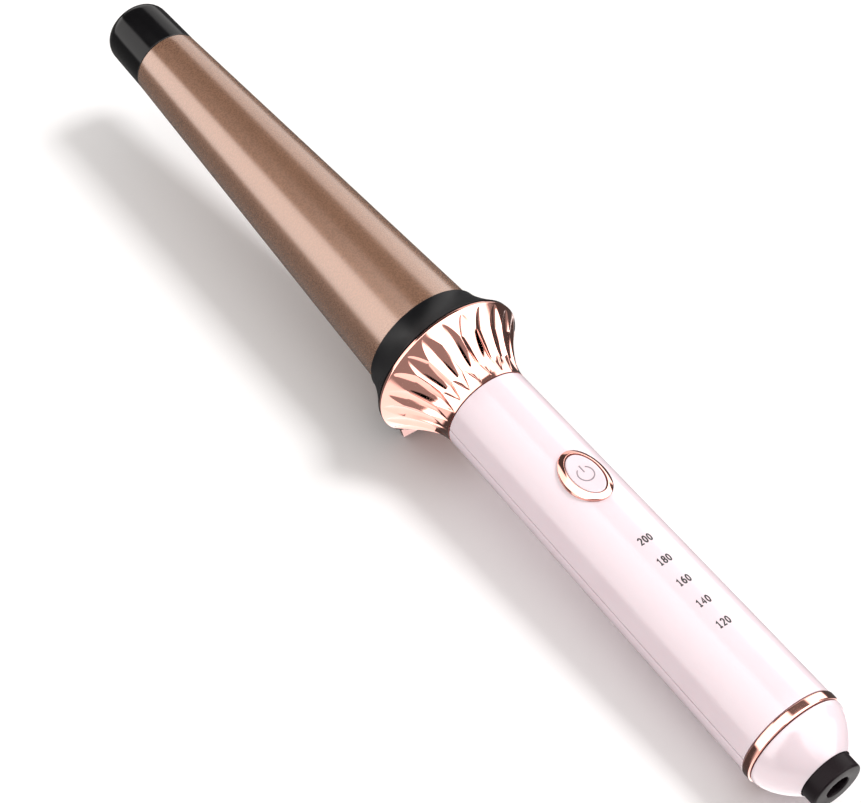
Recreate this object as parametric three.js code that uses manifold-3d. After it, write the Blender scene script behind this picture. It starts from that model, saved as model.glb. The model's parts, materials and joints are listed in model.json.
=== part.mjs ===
// Curling wand: a heated tapered barrel on a slim handle, lying on its rest plate and tail ring.
//
// Everything is laid out along the wand's own axis. x runs from the tip (minus) to the cord end
// (plus) and is zero just behind the heat shield, z points to the button side, and y is across.
// The whole wand is then tipped up about y, so that it lies on its two resting points.
// Millimetres throughout.

import * as THREE from 'three';
import { mergeVertices } from 'three/addons/utils/BufferGeometryUtils.js';
import Module from 'manifold-3d';

const wasm = await Module();
wasm.setup();

// ---------------------------------------------------------------- driving dimensions

const GAP = 0.3;                 // working gap between neighbouring pieces
const ROUND = 40;                // sides on a large turned piece
const SMALL_ROUND = 16;          // sides on a screw or a lead

const BARREL_TIP = { x: -158.4, r: 11.55 };
const BARREL_BASE = { x: -17.9, r: 19.0 };
const BARREL_END_X = -11.0;      // the barrel goes on inside its collar
const BARREL_WALL = 1.0;
const CAP_END_X = -179.8;

const RIM = { x: -6.9, r: 25.1 };           // widest place: the lip where collar and crown meet
const NECK = { x: 13.3, r: 14.3 };          // crown meets handle
const FLUTES = 22;                          // scallops round the crown
const NECK_TUBE = { outer: 11.9, inner: 9.9, end: 30.0 };

const HANDLE_FRONT = { x: 13.6, r: 14.3 };
const HANDLE_REAR = { x: 146.9, r: 15.9 };
const SEAM = 0.15;               // half the gap between the two handle shells

const TAIL_RING = { x0: 147.2, x1: 150.2, outer: 16.2, inner: 13.6 };
const DOME_END_X = 162.7;
const GLAND = { x: 167.6, r: 8.2, bore: 3.8 };

const BUTTON_X = 56.5;
const BUTTON_HOLE = { a: 9.2, b: 6.4 };      // through the upper shell
const BUTTON_RING = { a: 9.6, b: 6.8, top: 16.3, crown: 40 };
const RING_OPENING = { a: 7.7, b: 5.0 };
const BUTTON = { a: 7.4, b: 4.7, top: 16.2 };
const BUTTON_FLANGE = { a: 8.4, b: 5.7 };    // held under the ring

const LED_FIRST_X = 83.0;        // one lamp under each temperature number
const LED_PITCH = 8.35;
const LED_COUNT = 5;

const BOARD = { x0: 42.0, x1: 126.0, half: 10.0, bottom: 1.4, top: 3.0 };
const BOARD_SCREW_X = [46.0, 122.0];
const HANDLE_SCREW_X = [34.5, 131.0];

const REST = { x: -6.9, z: -26.2, half: 13.1, shoulderZ: -20.2, shoulderHalf: 15.1 };
const RING_EDGE = 0.35;          // rounding on the tail ring's two rims
const TIP_UP = Math.atan((-TAIL_RING.outer - REST.z) / (TAIL_RING.x1 - RING_EDGE - REST.x));

// ---------------------------------------------------------------- materials

function finish(colour, roughness, metalness) {
  return new THREE.MeshStandardMaterial({ color: colour, roughness, metalness });
}

const BLACK_PLASTIC = finish('#1b1a1c', 0.35, 0);
const PINK_PLASTIC = finish('#f4e8ec', 0.25, 0);
const ROSE_GOLD = finish('#d79a80', 0.12, 1);
const CERAMIC_COAT = finish('#a98069', 0.4, 0.6);
const ALUMINIUM = finish('#c3c6c9', 0.45, 1);
const STEEL = finish('#9da1a5', 0.35, 1);
const BRASS = finish('#c9a24a', 0.3, 1);
const HEATER_WRAP = finish('#b5702a', 0.4, 0);
const GREY_PLASTIC = finish('#8d8d8a', 0.6, 0);
const BOARD_GREEN = finish('#1f5a3a', 0.5, 0);
const CLEAR = finish('#eef2f4', 0.1, 0);
const RED_LEAD = finish('#a92b25', 0.5, 0);
const BLUE_LEAD = finish('#2a4f92', 0.5, 0);
const WHITE_LEAD = finish('#e6e3dc', 0.5, 0);
const CERAMIC = finish('#e9e3d4', 0.5, 0);

// ---------------------------------------------------------------- shape helpers

const wand = new THREE.Group();

function add(name, geometry, material, parent = wand) {
  const mesh = new THREE.Mesh(geometry, material);
  mesh.name = name;
  parent.add(mesh);
  return mesh;
}

// Drops the flat slivers that a turned profile leaves where it meets the axis.
function welded(geometry) {
  const bare = geometry.clone();
  bare.deleteAttribute('normal');
  bare.deleteAttribute('uv');
  const merged = mergeVertices(bare, 1e-4);
  const index = merged.index.array;
  const kept = [];
  for (let i = 0; i < index.length; i += 3) {
    const [a, b, c] = [index[i], index[i + 1], index[i + 2]];
    if (a !== b && b !== c && c !== a) kept.push(a, b, c);
  }
  merged.setIndex(kept);
  return merged;
}

function toSolid(geometry) {
  const merged = welded(geometry);
  return new wasm.Manifold(new wasm.Mesh({
    numProp: 3,
    vertProperties: new Float32Array(merged.attributes.position.array),
    triVerts: new Uint32Array(merged.index.array),
  }));
}

function toGeometry(solid) {
  const mesh = solid.getMesh();
  const geometry = new THREE.BufferGeometry();
  geometry.setAttribute('position', new THREE.BufferAttribute(mesh.vertProperties, 3));
  geometry.setIndex(new THREE.BufferAttribute(mesh.triVerts, 1));
  geometry.computeVertexNormals();
  return geometry;
}

// Turns a closed profile of [x, r] points about the wand's axis. The profile runs from the
// tip to the tail along the outside, then back along the bore.
function turned(profile, sides = ROUND) {
  const points = profile.map(([x, r]) => new THREE.Vector2(r, x));
  const geometry = new THREE.LatheGeometry(points, sides);
  geometry.rotateZ(-Math.PI / 2);
  return welded(geometry);
}

// The usual profile: the outside from tip to tail, then the inside from tail to tip.
function shellProfile(outside, inside) {
  const loop = [...outside, ...inside];
  return [...loop, loop[0]];
}

function ringProfile(x0, x1, inner, outer) {
  return shellProfile([[x0, outer], [x1, outer]], [[x1, inner], [x0, inner]]);
}

// A solid rod or disc whose own axis is x, y or z.
function rod(axis, radius, length, centre, sides = SMALL_ROUND) {
  const geometry = new THREE.CylinderGeometry(radius, radius, length, sides);
  if (axis === 'x') geometry.rotateZ(-Math.PI / 2);
  if (axis === 'z') geometry.rotateX(Math.PI / 2);
  geometry.translate(...centre);
  return geometry;
}

function block(low, high) {
  const size = high.map((value, i) => value - low[i]);
  const centre = high.map((value, i) => (value + low[i]) / 2);
  const geometry = new THREE.BoxGeometry(...size);
  geometry.translate(...centre);
  return geometry;
}

// An upright oval prism, seen from the button side.
function oval(a, b, z0, z1, centreX) {
  const shape = new THREE.Shape();
  shape.absellipse(0, 0, a, b, 0, 2 * Math.PI, false, 0);
  const geometry = new THREE.ExtrudeGeometry(shape, {
    depth: z1 - z0, bevelEnabled: false, curveSegments: 16,
  });
  geometry.translate(centreX, 0, z0);
  return geometry;
}

function lead(points, radius) {
  const path = new THREE.CatmullRomCurve3(points.map((p) => new THREE.Vector3(...p)));
  const section = new THREE.Shape();
  section.absarc(0, 0, radius, 0, 2 * Math.PI, false);
  return new THREE.ExtrudeGeometry(section, {
    steps: points.length * 3, curveSegments: 4, extrudePath: path, bevelEnabled: false,
  });
}

// Points on a quarter-round or shallower arc about a centre, between two angles in degrees.
function arc(centreX, centreR, radius, from, to, steps) {
  return Array.from({ length: steps + 1 }, (_, i) => {
    const angle = THREE.MathUtils.degToRad(from + (to - from) * i / steps);
    return [centreX + radius * Math.cos(angle), centreR + radius * Math.sin(angle)];
  });
}

// Stands an outline drawn across the wand (y, z) upright, so that it is extruded along x.
const ACROSS_TO_ALONG = new THREE.Matrix4().set(
  0, 0, 1, 0,
  1, 0, 0, 0,
  0, 1, 0, 0,
  0, 0, 0, 1,
);

const TAPER = (BARREL_BASE.r - BARREL_TIP.r) / (BARREL_BASE.x - BARREL_TIP.x);

function boreRadius(x) {
  return BARREL_TIP.r - BARREL_WALL + TAPER * (Math.min(x, BARREL_BASE.x) - BARREL_TIP.x);
}

// ---------------------------------------------------------------- heated barrel

const GRUB_X = -15.8;
const GRUB_TURNS = [30, 150, 270];           // degrees round the axis
const COLLAR_SCREW_TURNS = [90, 210, 330];
const COLLAR_SCREW_R = 15.4;

function makeTipCap() {
  const spigot = boreRadius(BARREL_TIP.x) - GAP;
  const front = BARREL_TIP.x - GAP;
  const outside = [
    [CAP_END_X, 0],
    [CAP_END_X + 0.25, 4.5],
    ...arc(-174.6, 6.2, 4.9, 172, 92, 4),
    [-172.0, 11.2],
    [front, BARREL_TIP.r],
  ];
  const inside = [
    [front, spigot],
    [-150.2, spigot],
    [-150.2, spigot - 1.8],
    [-173.0, spigot - 1.8],
    [-174.0, 0],
  ];
  add('tip_cap', turned([...outside, ...inside]), BLACK_PLASTIC);
}

function makeBarrel() {
  const bore = BARREL_BASE.r - BARREL_WALL;
  const tube = toSolid(turned(shellProfile(
    [[BARREL_TIP.x, BARREL_TIP.r], [BARREL_BASE.x, BARREL_BASE.r], [BARREL_END_X, BARREL_BASE.r]],
    [[BARREL_END_X, bore], [BARREL_BASE.x, bore], [BARREL_TIP.x, BARREL_TIP.r - BARREL_WALL]],
  )));
  let drilled = tube;
  for (const turn of GRUB_TURNS) {
    drilled = drilled.subtract(toSolid(grubRod(1.3 + GAP, 12, 22, turn)));
  }
  add('barrel', toGeometry(drilled), CERAMIC_COAT);
}

// A short rod pointing straight out from the axis.
function grubRod(radius, from, to, turn) {
  const geometry = rod('z', radius, to - from, [GRUB_X, 0, (from + to) / 2], 8);
  geometry.rotateX(THREE.MathUtils.degToRad(turn));
  return geometry;
}

function makeBarrelPlug() {
  const rear = BARREL_END_X - 0.2;
  let plug = toSolid(turned(shellProfile(
    [[-24.0, 17.3], [rear, 17.3]],
    [[rear, 7.0], [rear - 3.0, 7.0], [rear - 3.0, 14.9], [-24.0, 14.9]],
  )));
  for (const turn of GRUB_TURNS) {
    plug = plug.subtract(toSolid(grubRod(1.3 + GAP, 12, 20, turn)));
  }
  for (const turn of COLLAR_SCREW_TURNS) {
    plug = plug.subtract(toSolid(collarScrewRod(1.2 + GAP, -16.0, -10.0, turn)));
  }
  add('barrel_plug', toGeometry(plug), GREY_PLASTIC);
  GRUB_TURNS.forEach((turn, i) => {
    add(`barrel_screw_${i + 1}`, grubRod(1.3, 14.2, 18.8, turn), STEEL);
  });
}

// Two hollow half-round spreaders clamp the heater and carry its heat to the barrel.
function makeSpreader(name, side, webNear, webFar) {
  const x0 = -104;
  const x1 = -34;
  const clearance = 0.35;
  const wall = 1.0;
  const outer0 = boreRadius(x0) - clearance;
  const outer1 = boreRadius(x1) - clearance;
  const body = toSolid(turned([[x0, 0], [x0, outer0], [x1, outer1], [x1, 0]]));
  const hollow = toSolid(turned([
    [x0 - 1, 0], [x0 - 1, outer0 - wall], [x1 + 1, outer1 - wall], [x1 + 1, 0],
  ]));
  const reach = 30;
  const web = side > 0
    ? block([x0 - 2, -reach, webNear], [x1 + 2, reach, webFar])
    : block([x0 - 2, -reach, -webFar], [x1 + 2, reach, -webNear]);
  const half = side > 0
    ? block([x0 - 2, -reach, webNear], [x1 + 2, reach, reach])
    : block([x0 - 2, -reach, -reach], [x1 + 2, reach, -webNear]);
  const skin = body.subtract(hollow).add(body.intersect(toSolid(web)));
  add(name, toGeometry(skin.intersect(toSolid(half))), ALUMINIUM);
}

function makeHeater() {
  makeSpreader('heat_spreader_upper', 1, 3.1, 4.6);
  makeSpreader('heat_spreader_lower', -1, 2.1, 3.6);
  add('ptc_heater', block([-98, -7.5, -1.7], [-42, 7.5, 1.7]), HEATER_WRAP);

  const wave = new THREE.Shape();
  const sheet = 0.25;
  const crests = 24;
  const top = [];
  for (let i = 0; i <= crests; i += 1) {
    top.push([-95 + 50 * i / crests, 2.3 + (i % 2) * 0.35]);
  }
  top.forEach(([x, z], i) => (i ? wave.lineTo(x, z) : wave.moveTo(x, z)));
  top.reverse().forEach(([x, z]) => wave.lineTo(x, z - sheet));
  const spring = new THREE.ExtrudeGeometry(wave, { depth: 9, bevelEnabled: false });
  spring.rotateX(Math.PI / 2);
  spring.translate(0, 4.5, 0);
  add('leaf_spring', spring, STEEL);

  add('thermal_fuse', rod('x', 1.9, 10, [-65, 0, 6.9], 12), CERAMIC);
  add('thermistor', rod('x', 0.9, 5, [-72, 0, -5.1], 8), CERAMIC);
}

// ---------------------------------------------------------------- heat shield, crown and rest

function collarScrewRod(radius, x0, x1, turn) {
  const geometry = rod('x', radius, x1 - x0, [(x0 + x1) / 2, 0, COLLAR_SCREW_R], 8);
  geometry.rotateX(THREE.MathUtils.degToRad(turn));
  return geometry;
}

const COLLAR_FRONT_R = BARREL_BASE.r + GAP + 0.6;
const RECESS = { x: -8.5, r: 23.7 };         // pocket in the collar's back for the rest plate
const WEB_FRONT_X = BARREL_END_X + GAP;

function flarePoints(steps) {
  return Array.from({ length: steps + 1 }, (_, i) => {
    const t = i / steps;
    return [
      BARREL_BASE.x + (RIM.x - BARREL_BASE.x) * t,
      COLLAR_FRONT_R + (RIM.r - 0.1 - COLLAR_FRONT_R) * t ** 1.5,
    ];
  });
}

function makeCollar() {
  const { outer, inner, end } = NECK_TUBE;
  let collar = toSolid(turned(shellProfile(
    [
      ...flarePoints(5), [RIM.x, RECESS.r], [RECESS.x, RECESS.r], [RECESS.x, outer],
      [20.0, outer], [20.0, outer - 1], [24.0, outer - 1], [24.0, outer], [end, outer],
    ],
    [[end, inner], [WEB_FRONT_X, inner], [WEB_FRONT_X, 19.3], [BARREL_BASE.x, 19.3]],
  )));
  const notch = block([RECESS.x, -16.4, -30], [RIM.x + 1, 16.4, -17.2]);
  collar = collar.subtract(toSolid(notch));
  for (const turn of COLLAR_SCREW_TURNS) {
    collar = collar.subtract(toSolid(collarScrewRod(1.2 + GAP, -12, -7, turn)));
  }
  add('barrel_collar', toGeometry(collar), BLACK_PLASTIC);

  COLLAR_SCREW_TURNS.forEach((turn, i) => {
    const head = toSolid(collarScrewRod(2.4, RECESS.x + 0.2, RECESS.x + 1.6, turn));
    const shank = toSolid(collarScrewRod(1.2, -14.0, RECESS.x + 0.3, turn));
    add(`collar_screw_${i + 1}`, toGeometry(head.add(shank)), STEEL);
  });
}

// The crown flares like a trumpet. Each flute is a scallop with a pointed end at the rim.
const CROWN_OUTSIDE = [
  [-6.6, 24.8], [-5.6, RIM.r], [-4.6, 24.5], [-3.4, 23.3], [-1.8, 21.85], [0.2, 20.15],
  [2.6, 18.3], [5.2, 16.75], [8.0, 15.5], [10.8, 14.75], [NECK.x, NECK.r],
];

function fluteDepth(x, across) {
  const start = -4.7;
  const end = 12.0;
  if (x <= start || x >= end) return 0;
  const opening = Math.min(1, ((x - start) / 4.4) ** 0.7);
  const closing = Math.min(1, ((end - x) / 4.5) ** 0.8);
  const width = opening * closing;
  return Math.max(0, 1.15 * (width ** 2 - across ** 2));
}

function makeCrown() {
  const perFlute = 4;
  const sides = FLUTES * perFlute;
  const inside = [[13.0, 12.2], [4.6, 12.2], [1.0, 14.6], [-3.0, 20.4], [-6.6, 22.9]];
  const profile = shellProfile(CROWN_OUTSIDE, inside);
  const points = profile.map(([x, r]) => new THREE.Vector2(r, x));
  const geometry = new THREE.LatheGeometry(points, sides);
  const position = geometry.attributes.position;
  const pitch = 2 * Math.PI / FLUTES;
  for (let i = 0; i < position.count; i += 1) {
    const x = position.getY(i);
    const radius = Math.hypot(position.getX(i), position.getZ(i));
    if (CROWN_OUTSIDE.includes(profile[i % points.length])) {
      const turn = Math.atan2(position.getX(i), position.getZ(i)) / pitch;
      const across = 2 * (turn - Math.round(turn));
      const scale = (radius - fluteDepth(x, across)) / radius;
      position.setX(i, position.getX(i) * scale);
      position.setZ(i, position.getZ(i) * scale);
    }
  }
  geometry.rotateZ(-Math.PI / 2);
  add('crown', welded(geometry), ROSE_GOLD);
}

// A stamped plate held between collar and crown. Its flat lower edge keeps the wand from rolling.
function makeRestPlate() {
  const thickness = 1.3;
  const ringR = RECESS.r - GAP;
  const meet = Math.acos(REST.shoulderHalf / ringR);
  const outline = new THREE.Shape();
  outline.moveTo(-REST.half, REST.z);
  outline.lineTo(REST.half, REST.z);
  outline.lineTo(REST.shoulderHalf, REST.shoulderZ);
  outline.absarc(0, 0, ringR, -meet, Math.PI + meet, false);
  outline.lineTo(-REST.shoulderHalf, REST.shoulderZ);
  const hole = new THREE.Path();
  hole.absarc(0, 0, 18.6, 0, 2 * Math.PI, true);
  outline.holes.push(hole);
  const plate = new THREE.ExtrudeGeometry(outline, {
    depth: thickness, bevelEnabled: false, curveSegments: 24,
  });
  plate.applyMatrix4(ACROSS_TO_ALONG);
  plate.translate(-thickness, 0, 0);
  const position = plate.attributes.position;
  for (let i = 0; i < position.count; i += 1) {
    const onEdge = Math.abs(position.getZ(i) - REST.z) < 0.01;
    if (onEdge) position.setZ(i, REST.z + position.getX(i) * Math.tan(TIP_UP));
  }
  add('rest_plate', welded(plate), ROSE_GOLD).position.x = REST.x;
}

// ---------------------------------------------------------------- handle shells

const FRONT_RIB = [20.4, 23.6];
const REAR_RIB = [143.5, 145.1];

function fullHandle() {
  const front = NECK_TUBE.outer + GAP;
  const rear = 13.5;
  const innerAt = (x) => front + (rear - front) * (x - HANDLE_FRONT.x) / (HANDLE_REAR.x - HANDLE_FRONT.x);
  const [f0, f1] = FRONT_RIB;
  const [r0, r1] = REAR_RIB;
  return toSolid(turned(shellProfile(
    [[HANDLE_FRONT.x, HANDLE_FRONT.r], [HANDLE_REAR.x, HANDLE_REAR.r]],
    [
      [HANDLE_REAR.x, rear],
      [r1, innerAt(r1)], [r1, 12.6], [r0, 12.6], [r0, innerAt(r0)],
      [f1, innerAt(f1)], [f1, 11.2], [f0, 11.2], [f0, innerAt(f0)],
      [HANDLE_FRONT.x, front],
    ],
  )));
}

// The part of a post that lies inside the handle's outer skin.
function post(radius, x, z0, z1) {
  const skin = toSolid(turned([
    [HANDLE_FRONT.x, 0], [HANDLE_FRONT.x, HANDLE_FRONT.r - 0.6],
    [HANDLE_REAR.x, HANDLE_REAR.r - 0.6], [HANDLE_REAR.x, 0],
  ]));
  return toSolid(rod('z', radius, z1 - z0, [x, 0, (z0 + z1) / 2])).intersect(skin);
}

function makeShells() {
  const whole = fullHandle();
  const above = toSolid(block([0, -20, SEAM], [160, 20, 20]));
  const below = toSolid(block([0, -20, -20], [160, 20, -SEAM]));
  let upper = whole.intersect(above);
  let lower = whole.intersect(below);
  upper = upper.subtract(toSolid(oval(BUTTON_HOLE.a, BUTTON_HOLE.b, 8, 20, BUTTON_X)));
  for (const x of HANDLE_SCREW_X) {
    upper = upper.add(post(3.0, x, 0.4, 16));
    upper = upper.subtract(toSolid(rod('z', 1.5, 9, [x, 0, 4])));
    lower = lower.add(post(3.6, x, -16, -SEAM));
    lower = lower.subtract(toSolid(rod('z', 1.5, 20, [x, 0, -6])));
    lower = lower.subtract(toSolid(rod('z', 2.7, 12, [x, 0, -12.2])));
  }
  for (const x of BOARD_SCREW_X) {
    lower = lower.add(post(2.3, x, -16, BOARD.bottom - GAP));
    lower = lower.subtract(toSolid(rod('z', 1.2, 8, [x, 0, -1.5], 8)));
  }
  add('handle_shell_upper', toGeometry(upper), PINK_PLASTIC);
  add('handle_shell_lower', toGeometry(lower), PINK_PLASTIC);

  ['front', 'rear'].forEach((place, i) => {
    const x = HANDLE_SCREW_X[i];
    const head = toSolid(rod('z', 2.4, 1.6, [x, 0, -7.3], 12));
    const shank = toSolid(rod('z', 1.2, 14, [x, 0, 0], 12));
    add(`handle_screw_${place}`, toGeometry(head.add(shank)), STEEL);
  });
}

// ---------------------------------------------------------------- button

// A block of the given height whose top follows a large radius across the handle.
function underCrown(top, radius) {
  return toSolid(rod('x', radius, 60, [BUTTON_X, 0, top - radius], 96));
}

function makeButton() {
  const { a, b, top, crown } = BUTTON_RING;
  const skin = toSolid(turned([
    [HANDLE_FRONT.x, 0], [HANDLE_FRONT.x, HANDLE_FRONT.r + GAP],
    [HANDLE_REAR.x, HANDLE_REAR.r + GAP], [HANDLE_REAR.x, 0],
  ]));
  const bezel = toSolid(oval(a, b, 10, 18, BUTTON_X)).subtract(skin);
  const spigot = toSolid(oval(BUTTON_HOLE.a - GAP, BUTTON_HOLE.b - GAP, 10.6, 18, BUTTON_X));
  const opening = toSolid(oval(RING_OPENING.a, RING_OPENING.b, 9, 19, BUTTON_X));
  const ring = bezel.add(spigot).subtract(opening).intersect(underCrown(top, crown));
  add('button_trim_ring', toGeometry(ring), ROSE_GOLD);

  const cap = toSolid(oval(BUTTON.a, BUTTON.b, 9.0, 18, BUTTON_X))
    .intersect(underCrown(BUTTON.top, crown));
  const flange = toSolid(oval(BUTTON_FLANGE.a, BUTTON_FLANGE.b, 9.0, 10.2, BUTTON_X));
  const stem = toSolid(rod('z', 2.2, 1.2, [BUTTON_X, 0, 8.8]));
  add('power_button', toGeometry(cap.add(flange).add(stem)), PINK_PLASTIC);
}

// ---------------------------------------------------------------- control board

function makeBoard() {
  let board = toSolid(block([BOARD.x0, -BOARD.half, BOARD.bottom], [BOARD.x1, BOARD.half, BOARD.top]));
  for (const x of BOARD_SCREW_X) {
    board = board.subtract(toSolid(rod('z', 1.2, 6, [x, 0, 2], 8)));
  }
  add('control_board', toGeometry(board), BOARD_GREEN);

  const seat = BOARD.top + GAP;
  ['front', 'rear'].forEach((place, i) => {
    const x = BOARD_SCREW_X[i];
    const head = toSolid(rod('z', 1.9, 1.2, [x, 0, seat + 0.6], 10));
    const shank = toSolid(rod('z', 0.9, 8, [x, 0, seat - 3.9], 10));
    add(`board_screw_${place}`, toGeometry(head.add(shank)), STEEL);
  });

  const socket = toSolid(block([BUTTON_X - 3, -3, seat], [BUTTON_X + 3, 3, seat + 3.2]))
    .subtract(toSolid(rod('z', 1.8, 4, [BUTTON_X, 0, seat + 3.1], 12)));
  add('tact_switch', toGeometry(socket), BLACK_PLASTIC);
  add('tact_plunger', rod('z', 1.5, 2.3, [BUTTON_X, 0, 6.75], 12), BLACK_PLASTIC);
  add('mcu_chip', block([67, -3.5, seat], [74, 3.5, seat + 1.2]), BLACK_PLASTIC);

  for (let i = 0; i < LED_COUNT; i += 1) {
    const x = LED_FIRST_X + LED_PITCH * i;
    add(`led_${i + 1}`, block([x - 1.6, -0.9, seat], [x + 1.6, 0.9, seat + 1.0]), CLEAR);
  }

  const under = BOARD.bottom - GAP;
  add('terminal_block', block([50, -5, under - 8], [60, 5, under]), GREY_PLASTIC);
  add('triac', block([64, -5, under - 4.4], [79, 5, under]), BLACK_PLASTIC);
  add('electrolytic_capacitor', rod('x', 4, 13, [90, 0, under - 4], 16), GREY_PLASTIC);
  add('film_capacitor', block([102, -3, under - 10.5], [115, 3, under]), HEATER_WRAP);
}

// One clear bar with a leg down to each lamp carries the light to the numbers.
function makeLightGuide() {
  const comb = new THREE.Shape();
  const foot = BOARD.top + GAP + 1.0 + GAP;
  const bar = 10.4;
  const top = 12.2;
  const last = LED_FIRST_X + LED_PITCH * (LED_COUNT - 1);
  comb.moveTo(LED_FIRST_X - 1.5, top);
  for (let i = 0; i < LED_COUNT; i += 1) {
    const x = LED_FIRST_X + LED_PITCH * i;
    if (i > 0) comb.lineTo(x - 1.5, bar);
    comb.lineTo(x - 1.5, foot);
    comb.lineTo(x + 1.5, foot);
    if (i < LED_COUNT - 1) comb.lineTo(x + 1.5, bar);
  }
  comb.lineTo(last + 1.5, top);
  const guide = new THREE.ExtrudeGeometry(comb, { depth: 2.4, bevelEnabled: false });
  guide.rotateX(Math.PI / 2);
  guide.translate(0, 1.2, 0);
  add('light_guide', guide, CLEAR);
}

// ---------------------------------------------------------------- internal leads

function makeLeads() {
  for (const [name, side, material] of [
    ['heater_lead_live', 1, RED_LEAD],
    ['heater_lead_neutral', -1, BLUE_LEAD],
  ]) {
    add(name, lead([
      [-41.6, side * 4.0, 0], [-30, side * 4.0, 0], [-12, side * 4.2, 0], [8, side * 4.8, -1.0],
      [24, side * 5.4, -2.0], [34.5, side * 5.8, -2.6], [43, side * 4.9, -3.0],
      [49.6, side * 4.2, -3.2],
    ], 0.9), material);
  }
  add('thermistor_lead', lead([
    [-69.2, 0, -5.1], [-52, 0, -5.3], [-34, 0, -5.3], [-14, 0, -5.2], [4, 2.2, -6.0],
    [20, 5.0, -6.6], [34.5, 7.4, -5.8], [43, 8.0, -3.6], [50, 8.0, -1.2], [54, 8.0, 0.5],
  ], 0.6), WHITE_LEAD);
  add('fuse_lead', lead([
    [-59.6, 0, 6.9], [-46, 0, 6.7], [-30, 0, 5.6], [-13, 0, 5.0], [4, -2.0, 5.6],
    [20, -5.0, 6.4], [34.5, -7.6, 5.8], [42, -8.2, 5.0], [50, -8.2, 4.4],
  ], 0.6), WHITE_LEAD);
  for (const [name, side, material] of [
    ['supply_lead_live', 1, RED_LEAD],
    ['supply_lead_neutral', -1, BLUE_LEAD],
  ]) {
    add(name, lead([
      [138.2, side * 3.4, -8.9], [134, side * 5.4, -8.0], [129, side * 6.6, -5.4],
      [124, side * 6.8, -2.6], [120.5, side * 6.8, 0.2],
    ], 0.8), material);
  }
}

// ---------------------------------------------------------------- tail ring, end cap and swivel

function makeTail() {
  const { x0, x1, outer, inner } = TAIL_RING;
  add('tail_trim_ring', turned(shellProfile(
    [
      [x0, outer - RING_EDGE], [x0 + RING_EDGE, outer],
      [x1 - RING_EDGE, outer], [x1, outer - RING_EDGE],
    ],
    [[x1, inner], [x0, inner]],
  )), ROSE_GOLD);

  add('end_cap', turned(shellProfile(
    [
      [141.5, 13.1], [143.2, 13.1], [143.2, 12.3], [145.4, 12.3], [145.4, 13.1], [150.5, 13.1],
      [150.5, 15.85], [153.2, 15.0], [155.8, 13.75], [158.2, 12.25], [160.5, 10.5],
      [DOME_END_X, GLAND.r + GAP],
    ],
    [[157.0, GLAND.r + GAP], [157.0, 11.3], [141.5, 11.3]],
  )), PINK_PLASTIC);

  add('swivel_retainer', turned(ringProfile(150.5, 153.1, 7.6, 11.0), 32), STEEL);
}

function makeSwivel() {
  add('swivel_body', turned(shellProfile(
    [
      [138.5, 5.4], [153.4, 5.4], [153.4, 11.0], [156.7, 11.0], [156.7, GLAND.r],
      [GLAND.x - 0.5, GLAND.r], [GLAND.x, GLAND.r - 0.5],
    ],
    [[GLAND.x, GLAND.bore], [138.5, GLAND.bore]],
  ), 32), BLACK_PLASTIC);
  add('slip_ring_live', turned(ringProfile(139.6, 142.2, 5.7, 7.2), 32), BRASS);
  add('slip_ring_neutral', turned(ringProfile(144.2, 146.8, 5.7, 7.2), 32), BRASS);

  add('contact_holder', block([138.8, -4.5, -9.9], [148.4, 4.5, -7.9]), GREY_PLASTIC);
  for (const [name, side, x] of [['brush_live', 1, 140.9], ['brush_neutral', -1, 145.5]]) {
    const leaf = new THREE.Shape();
    leaf.moveTo(side * 3.0, -7.6);
    leaf.lineTo(side * 7.9, -7.6);
    leaf.lineTo(side * 7.9, 2.2);
    leaf.lineTo(side * 7.5, 2.2);
    leaf.lineTo(side * 7.5, -7.25);
    leaf.lineTo(side * 3.0, -7.25);
    const brush = new THREE.ExtrudeGeometry(leaf, { depth: 2.0, bevelEnabled: false });
    brush.applyMatrix4(ACROSS_TO_ALONG);
    brush.translate(x - 1.0, 0, 0);
    add(name, brush, BRASS);
  }
}

// ---------------------------------------------------------------- assembly

makeTipCap();
makeBarrel();
makeBarrelPlug();
makeHeater();
makeCollar();
makeCrown();
makeRestPlate();
makeShells();
makeButton();
makeBoard();
makeLightGuide();
makeLeads();
makeTail();
makeSwivel();

// Tip the wand up on to its rest plate, and stand its lowest point on the ground.
const group = new THREE.Group();
group.name = 'curling_wand';
group.add(wand);
wand.rotation.y = TIP_UP;
group.updateMatrixWorld(true);
const box = new THREE.Box3().setFromObject(wand, true);
const middle = box.getCenter(new THREE.Vector3());
wand.position.set(-middle.x, -middle.y, -box.min.z);

export default group;
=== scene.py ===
"""A curling wand lying on a white studio floor, tip raised on its rest plate.

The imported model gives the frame. Every outside piece is rebuilt here as a fine mesh in the wand's
own millimetres, where x runs from the tip to the cord end, z points to the button side and x = 0
lies just behind the heat collar, and is then laid into the model's frame. The pieces inside the
handle and the barrel keep their own meshes and get materials.
"""

import json
import math
from functools import partial

import bpy
from mathutils import Matrix, Vector


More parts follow.
